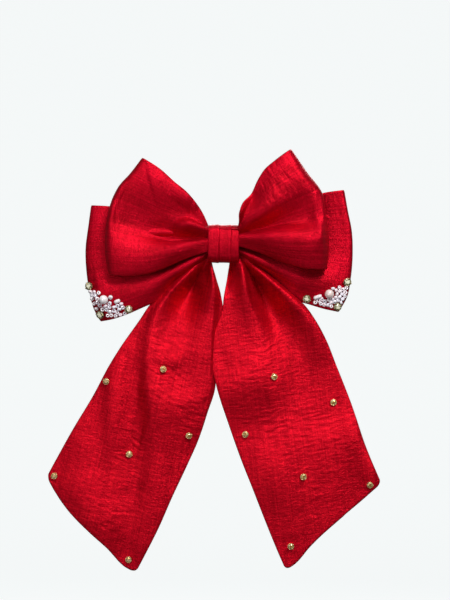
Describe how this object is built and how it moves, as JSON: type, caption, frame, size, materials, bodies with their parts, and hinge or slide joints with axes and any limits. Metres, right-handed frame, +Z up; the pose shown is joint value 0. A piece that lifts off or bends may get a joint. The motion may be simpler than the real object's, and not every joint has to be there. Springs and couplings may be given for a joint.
{
  "type": "hair bow",
  "caption": "Two-layer fabric hair bow with long slanted tails, a wrapped knot, beaded loop corners and a snap barrette behind.",
  "frame": {"origin": "middle of the gap that the hair goes through, between the barrette's tension bar and its closed clasp arm", "axes": "+Z up as the bow is worn, along the tails; -Y out of the bow's face, +Y into the head; +X to the right seen from the face"},
  "size_m": [0.2193, 0.0463, 0.2771],
  "materials": {
    "red_dupion_silk": "satin",
    "red_thread": "matte",
    "nickel_plated_steel": "polished",
    "gilt_setting": "polished",
    "champagne_crystal": "polished",
    "silver_lined_glass": "polished",
    "pearl": "polished"
  },
  "bodies": {
    "bow": {"front_band": "red_dupion_silk", "back_band": "red_dupion_silk", "knot_wrap": "red_dupion_silk", "gathering_thread": "red_thread", "knot_stitches": "red_thread", "base_plate": "nickel_plated_steel", "hinge_pin": "nickel_plated_steel", "catch_base": "nickel_plated_steel", "catch_rivet": "nickel_plated_steel", "left_clip_stitch": "red_thread", "right_clip_stitch": "red_thread", "left_pearl": "pearl", "right_pearl": "pearl", "left_seed_beads": "silver_lined_glass", "right_seed_beads": "silver_lined_glass", "left_bugle_bead": "silver_lined_glass", "right_bugle_bead": "silver_lined_glass", "left_corner_stone_1": "champagne_crystal", "left_corner_stone_1_setting": "gilt_setting", "left_corner_stone_2": "champagne_crystal", "left_corner_stone_2_setting": "gilt_setting", "left_corner_stone_3": "champagne_crystal", "left_corner_stone_3_setting": "gilt_setting", "right_corner_stone_1": "champagne_crystal", "right_corner_stone_1_setting": "gilt_setting", "right_corner_stone_2": "champagne_crystal", "right_corner_stone_2_setting": "gilt_setting", "right_corner_stone_3": "champagne_crystal", "right_corner_stone_3_setting": "gilt_setting"},
    "left_tail": {"left_tail": "red_dupion_silk", "left_tail_stone_1": "champagne_crystal", "left_tail_stone_1_setting": "gilt_setting", "left_tail_stone_2": "champagne_crystal", "left_tail_stone_2_setting": "gilt_setting", "left_tail_stone_3": "champagne_crystal", "left_tail_stone_3_setting": "gilt_setting", "left_tail_stone_4": "champagne_crystal", "left_tail_stone_4_setting": "gilt_setting", "left_tail_stone_5": "champagne_crystal", "left_tail_stone_5_setting": "gilt_setting", "left_tail_stone_6": "champagne_crystal", "left_tail_stone_6_setting": "gilt_setting"},
    "right_tail": {"right_tail": "red_dupion_silk", "right_tail_stone_1": "champagne_crystal", "right_tail_stone_1_setting": "gilt_setting", "right_tail_stone_2": "champagne_crystal", "right_tail_stone_2_setting": "gilt_setting", "right_tail_stone_3": "champagne_crystal", "right_tail_stone_3_setting": "gilt_setting", "right_tail_stone_4": "champagne_crystal", "right_tail_stone_4_setting": "gilt_setting", "right_tail_stone_5": "champagne_crystal", "right_tail_stone_5_setting": "gilt_setting", "right_tail_stone_6": "champagne_crystal", "right_tail_stone_6_setting": "gilt_setting"},
    "clasp_arm": {"clasp_arm": "nickel_plated_steel"},
    "tension_bar": {"tension_bar": "nickel_plated_steel"},
    "upper_catch_prong": {"upper_catch_prong": "nickel_plated_steel"},
    "lower_catch_prong": {"lower_catch_prong": "nickel_plated_steel"}
  },
  "joints": [
    {"name": "left_tail_swing", "type": "hinge", "parent": "bow", "child": "left_tail", "pos_m": [-0.01, -0.0211, -0.0085], "axis": [1, 0, 0], "range_deg": [-45, 10]},
    {"name": "right_tail_swing", "type": "hinge", "parent": "bow", "child": "right_tail", "pos_m": [0.01, -0.0211, -0.0085], "axis": [1, 0, 0], "range_deg": [-45, 10]},
    {"name": "clasp_arm_hinge", "type": "hinge", "parent": "bow", "child": "clasp_arm", "pos_m": [-0.0385, 0.00275, 0], "axis": [0, 0, 1], "range_deg": [0, 65]},
    {"name": "tension_bar_flex", "type": "hinge", "parent": "bow", "child": "tension_bar", "pos_m": [-0.0356, -0.0047, 0], "axis": [0, 0, 1], "range_deg": [-1.5, 0], "stiffness_Nm_per_rad": 2},
    {"name": "upper_prong_squeeze", "type": "hinge", "parent": "bow", "child": "upper_catch_prong", "pos_m": [0.0337, -0.0047, 0.0013], "axis": [1, 0, 0], "range_deg": [-6, 0], "stiffness_Nm_per_rad": 0.15},
    {"name": "lower_prong_squeeze", "type": "hinge", "parent": "bow", "child": "lower_catch_prong", "pos_m": [0.0337, -0.0047, -0.0013], "axis": [1, 0, 0], "range_deg": [0, 6], "stiffness_Nm_per_rad": 0.15}
  ]
}
